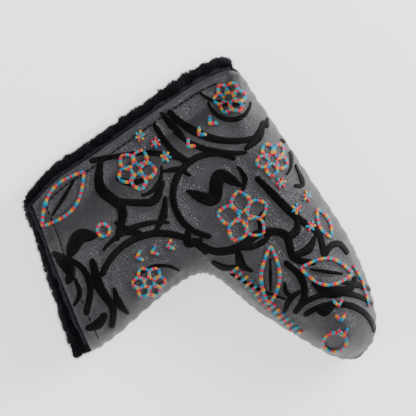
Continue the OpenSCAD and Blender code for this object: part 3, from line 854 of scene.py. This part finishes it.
def tufts(name, roots, directions, front):
    """Small closed pointed tufts of pile."""
    count, length, width = PILE[name]
    d = directions / np.linalg.norm(directions, axis=1)[:, None]
    helper = rng.normal(size=(count, 3))
    a = np.cross(d, helper)
    a /= np.linalg.norm(a, axis=1)[:, None]
    b = np.cross(d, a)
    size = rng.uniform(0.55, 1.0, count)[:, None]
    clump = np.stack([smooth_noise(roots[:, 0], roots[:, 1], 2.6, 40 + k) for k in range(3)], -1)
    tip = roots + d * length * size + clump * 0.3 * length + rng.normal(size=(count, 3)) * 0.2
    corners = [roots - d * 0.4 + (a * math.cos(t) + b * math.sin(t)) * width * size for t in TUFT_CORNERS]
    points = np.stack([*corners, tip], 1).reshape(-1, 3)
    k = np.arange(count) * 4
    faces = np.concatenate([np.stack([k + i, k + j, k + l], -1) for i, j, l in TUFT_FACES])
    ob = make(name, to_frame(points), faces)
    return finish_piece(ob, PLUSH, [], front)


def rim_tufts():
    """Pile on what shows of the linings: along the open heel edge and round the mouth."""
    # back leaf, along the heel
    count = PILE["pile_heel_back"][0]
    u = rng.uniform(CORNER_RIB + 0.05, LAST_RIB, count)
    s = rng.uniform(0, 1, count) ** 1.5 * 9.0
    e = rng.uniform(SHELL_T + FOAM_T, WALL_T, count)
    p = panel_point(True, WALL_T, u, s)
    edge = s < 0.8
    p[edge, 2] = SEAM_HEIGHT - LIP_RISE + e[edge]
    out = rib_end(u, 0, True) - rib_end(u, 1, True)
    out /= np.linalg.norm(out, axis=1)[:, None]
    d = np.concatenate([out * np.where(edge, 1.0, 0.45)[:, None], np.where(edge, 0.25, 0.8)[:, None]], 1)
    d += rng.normal(size=(count, 3)) * TUFT_SPREAD
    tufts("pile_heel_back", p, d, False)
    # front leaf's edge, along the heel
    count = PILE["pile_heel_front"][0]
    u = rng.uniform(CORNER_RIB + 0.3, LAST_RIB, count)
    e = rng.uniform(SHELL_T + 0.4, WALL_T, count)
    p = panel_point(False, SHELL_T, u, rng.uniform(0, 0.5, count))
    p[:, 2] -= e - SHELL_T
    out = rib_end(u, 0, False) - rib_end(u, 1, False)
    out /= np.linalg.norm(out, axis=1)[:, None]
    d = np.concatenate([out, np.full((count, 1), -0.15)], 1) + rng.normal(size=(count, 3)) * TUFT_SPREAD
    tufts("pile_heel_front", p, d, True)
    # mouth, back leaf
    count = PILE["pile_mouth_back"][0]
    u = LAST_RIB - rng.uniform(0, 1, count) ** 1.4 * 1.3
    start, end = span(True, WALL_T, u)
    s = mix(start, end, rng.uniform(0, 1, count))
    p = panel_point(True, WALL_T, u, s)
    edge = u > LAST_RIB - 0.08
    p[edge, 2] -= rng.uniform(0, LINING_T, edge.sum())
    d = np.stack([0.1 + 0 * u, np.where(edge, 1.0, 0.45), np.where(edge, 0.25, 0.8)], -1)
    d += rng.normal(size=(count, 3)) * TUFT_SPREAD
    tufts("pile_mouth_back", p, d, False)
    # the back leaf's corner beside the inner end of the mouth
    count = PILE["pile_mouth_corner"][0]
    u = LAST_RIB - rng.uniform(0, 1, count) * 0.75
    e = rng.uniform(0.3, WALL_T, count)
    start, end = span(True, 0.0, u)
    p = panel_point(True, 0.0, u, end - e)
    p[:, 2] = SEAM_HEIGHT - rng.uniform(0, 2.5, count) - 1.0
    d = np.stack([-0.35 + 0 * u, 0.5 + 0 * u, 0.9 + 0 * u], -1) + rng.normal(size=(count, 3)) * TUFT_SPREAD
    tufts("pile_mouth_corner", p, d, False)
    # mouth, front leaf's edge
    count = PILE["pile_mouth_front"][0]
    u = np.full(count, LAST_RIB - 0.01)
    e = rng.uniform(SHELL_T + 0.6, WALL_T, count)
    start, end = span(False, WALL_T, u)
    s = mix(start, end, rng.uniform(0, 1, count))
    p = panel_point(False, SHELL_T, u, s)
    p[:, 2] -= e - SHELL_T
    d = np.stack([0.1 + 0 * u, 1.0 + 0 * u, -0.1 + 0 * u], -1) + rng.normal(size=(count, 3)) * TUFT_SPREAD
    tufts("pile_mouth_front", p, d, True)


rim_tufts()


# ---- Floor, light and camera ----

FLOOR_HALF, FLOOR_DROP = 3.0, 0.0004

def floor():
    m = material("floor", (0.93, 0.93, 0.93), 0.9, Emission_Strength=1.1)
    m.node_tree.nodes["Principled BSDF"].inputs["Emission Color"].default_value = (1, 1, 1, 1)
    mesh = bpy.data.meshes.new("floor")
    r = FLOOR_HALF
    mesh.from_pydata([(-r, -r, 0), (r, -r, 0), (r, r, 0), (-r, r, 0)], [], [(0, 1, 2, 3)])
    ob = bpy.data.objects.new("floor", mesh)
    mesh.materials.append(m)
    ob.location.z = -FLOOR_DROP
    bpy.context.scene.collection.objects.link(ob)


def lamp(name, place, aim, size, power):
    light = bpy.data.lights.new(name, "AREA")
    light.size = size
    light.energy = power
    ob = bpy.data.objects.new(name, light)
    ob.location = place
    ob.rotation_euler = (Vector(aim) - Vector(place)).to_track_quat("-Z", "Y").to_euler()
    bpy.context.scene.collection.objects.link(ob)


IMAGE_UP = Vector((0.862, -0.507, 0.0))
TILT = math.radians(6)
VIEW_WIDTH = 0.208
CAMERA_DISTANCE = 1.1
SENSOR = 36.0
CAMERA_AIM = np.array([-55.3, 50.0, 24.0])


def camera():
    data = bpy.data.cameras.new("camera")
    ob = bpy.data.objects.new("camera", data)
    data.sensor_width = SENSOR
    data.lens = SENSOR * CAMERA_DISTANCE / VIEW_WIDTH
    target = Vector(to_frame(CAMERA_AIM))
    back = Vector((math.sin(TILT), 0.0, math.cos(TILT)))
    ob.location = target + back * CAMERA_DISTANCE
    up = (IMAGE_UP - back * IMAGE_UP.dot(back)).normalized()
    right = up.cross(back)
    ob.matrix_world = Matrix((
        (right.x, up.x, back.x, ob.location.x), (right.y, up.y, back.y, ob.location.y),
        (right.z, up.z, back.z, ob.location.z), (0, 0, 0, 1)))
    data.clip_start = 0.01
    bpy.context.scene.collection.objects.link(ob)
    bpy.context.scene.camera = ob


floor()
lamp("key", (0.1, -0.8, 0.5), (0, 0, 0.02), 0.45, 13)
lamp("fill", (0.1, 0.75, 0.45), (0, 0, 0.02), 0.6, 4)
lamp("top", (0.0, 0.0, 1.3), (0, 0, 0), 1.0, 3)
world = bpy.data.worlds.new("studio")
world.use_nodes = True
world.node_tree.nodes["Background"].inputs["Color"].default_value = (1, 1, 1, 1)
world.node_tree.nodes["Background"].inputs["Strength"].default_value = 0.42
bpy.context.scene.world = world
camera()

for name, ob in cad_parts.items():
    if not ob.hide_render:
        ob.data.materials.clear()
        ob.data.materials.append(TAPE if "tape" in name and "thread" not in name else BLACK_SATIN)
